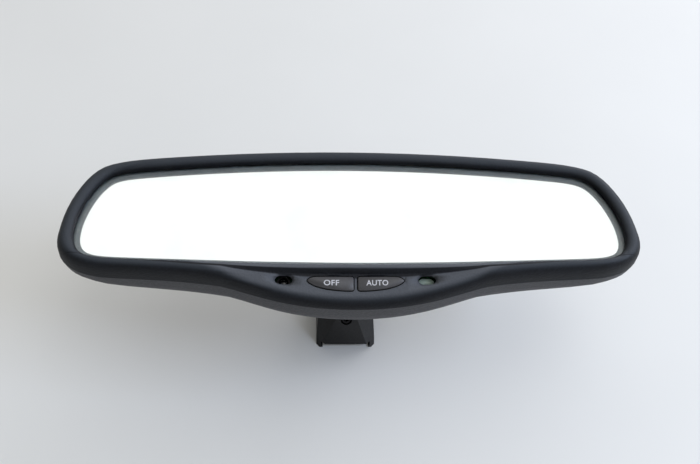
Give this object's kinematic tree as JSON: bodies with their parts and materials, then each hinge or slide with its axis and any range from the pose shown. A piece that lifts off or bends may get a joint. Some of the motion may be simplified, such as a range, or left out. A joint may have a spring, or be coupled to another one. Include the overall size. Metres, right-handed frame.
{
  "type": "interior rearview mirror",
  "caption": "Wide interior rearview mirror with a dimming glass, console buttons in its lower edge, ball-jointed arm and channel mount for a windscreen button.",
  "frame": {"origin": "on the windscreen plane under the windscreen mount, midway across the head and midway between its upper and lower edges", "axes": "+X across the mirror, to the right for someone facing the glass; +Y to the mirror's upper edge; +Z from the windscreen plane out to the face of the glass"},
  "size_m": [0.254, 0.078, 0.0853],
  "materials": {
    "bezel_plastic": "fine-grained soft-touch black, moulded",
    "case_plastic": "finely textured dark grey ABS, moulded",
    "button_plastic": "satin dark grey, moulded",
    "clear_glass": "polished, faint green tint",
    "mirror_glass": "silvered back, polished",
    "seal_epoxy": "cured grey seal",
    "foam": "closed-cell foam tape",
    "carrier_plastic": "black moulded, plain",
    "tinned_strip": "tinned spring strip",
    "board": "green solder mask over glass epoxy",
    "component_black": "black epoxy package",
    "can_aluminium": "drawn can, satin",
    "connector_plastic": "natural nylon",
    "contact_metal": "tinned brass pin",
    "lamp_plastic": "pale translucent light guide",
    "led_plastic": "clear epoxy package",
    "sensor_window": "dark translucent, polished",
    "plunger_plastic": "natural acetal",
    "screw_steel": "zinc plated",
    "plate_steel": "black e-coated steel",
    "cast_zinc": "black e-coated zinc casting",
    "tube_steel": "black e-coated drawn tube",
    "cup_nylon": "natural nylon",
    "spring_steel": "oiled spring wire",
    "wire_red": "PVC insulation",
    "wire_black": "PVC insulation",
    "set_screw_steel": "black oxide"
  },
  "bodies": {
    "mount": {"windscreen_mount": "cast_zinc", "set_screw": "set_screw_steel"},
    "lower_cup_body": {"lower_cup": "cup_nylon"},
    "arm": {"arm_tube": "tube_steel", "arm_spring": "spring_steel", "spring_seat": "cup_nylon"},
    "upper_cup_body": {"upper_cup": "cup_nylon"},
    "ball_seat_body": {"ball_seat": "cup_nylon"},
    "button_off_body": {"button_off": "button_plastic", "plunger_off": "plunger_plastic"},
    "button_auto_body": {"button_auto": "button_plastic", "plunger_auto": "plunger_plastic"},
    "head": {"front_bezel": "bezel_plastic", "rear_case": "case_plastic", "front_glass": "clear_glass", "rear_glass": "mirror_glass", "cell_seal": "seal_epoxy", "bus_strip_top": "tinned_strip", "bus_strip_bottom": "tinned_strip", "foam_pad": "foam", "glass_carrier": "carrier_plastic", "circuit_board": "board", "microcontroller": "component_black", "power_transistor": "component_black", "capacitor_1": "can_aluminium", "capacitor_2": "can_aluminium", "connector_shroud": "connector_plastic", "connector_pin_1": "contact_metal", "connector_pin_2": "contact_metal", "connector_pin_3": "contact_metal", "connector_pin_4": "contact_metal", "lamp_led": "led_plastic", "lamp_lens": "lamp_plastic", "glare_sensor": "sensor_window", "sensor_hood": "component_black", "rear_sensor": "component_black", "rear_window": "sensor_window", "switch_off": "component_black", "switch_auto": "component_black", "lead_top": "wire_red", "lead_bottom": "wire_black", "ball_plate": "plate_steel", "plate_screw_1": "screw_steel", "plate_screw_2": "screw_steel", "plate_screw_3": "screw_steel"}
  },
  "joints": [
    {"name": "arm_lean", "type": "hinge", "parent": "mount", "child": "lower_cup_body", "pos_m": [0, 0, 0.029], "axis": [0, 1, 0], "range_deg": [-10, 10]},
    {"name": "arm_tilt", "type": "hinge", "parent": "lower_cup_body", "child": "arm", "pos_m": [0, 0, 0.029], "axis": [1, 0, 0], "range_deg": [-22, 22]},
    {"name": "head_pan", "type": "hinge", "parent": "arm", "child": "upper_cup_body", "pos_m": [0, 0, 0.056], "axis": [0, 1, 0], "range_deg": [-15, 15]},
    {"name": "head_tilt", "type": "hinge", "parent": "upper_cup_body", "child": "ball_seat_body", "pos_m": [0, 0, 0.056], "axis": [1, 0, 0], "range_deg": [-22, 22]},
    {"name": "head_roll", "type": "hinge", "parent": "ball_seat_body", "child": "head", "pos_m": [0, 0, 0.056], "axis": [0, 0, 1], "range_deg": [-15, 15]},
    {"name": "off_press", "type": "slide", "parent": "head", "child": "button_off_body", "axis": [0, 0.3007, -0.9537], "range_m": [0, 0.0008], "stiffness_N_per_m": 1500, "springref_m": -0.0006},
    {"name": "auto_press", "type": "slide", "parent": "head", "child": "button_auto_body", "axis": [0, 0.3007, -0.9537], "range_m": [0, 0.0008], "stiffness_N_per_m": 1500, "springref_m": -0.0006}
  ]
}
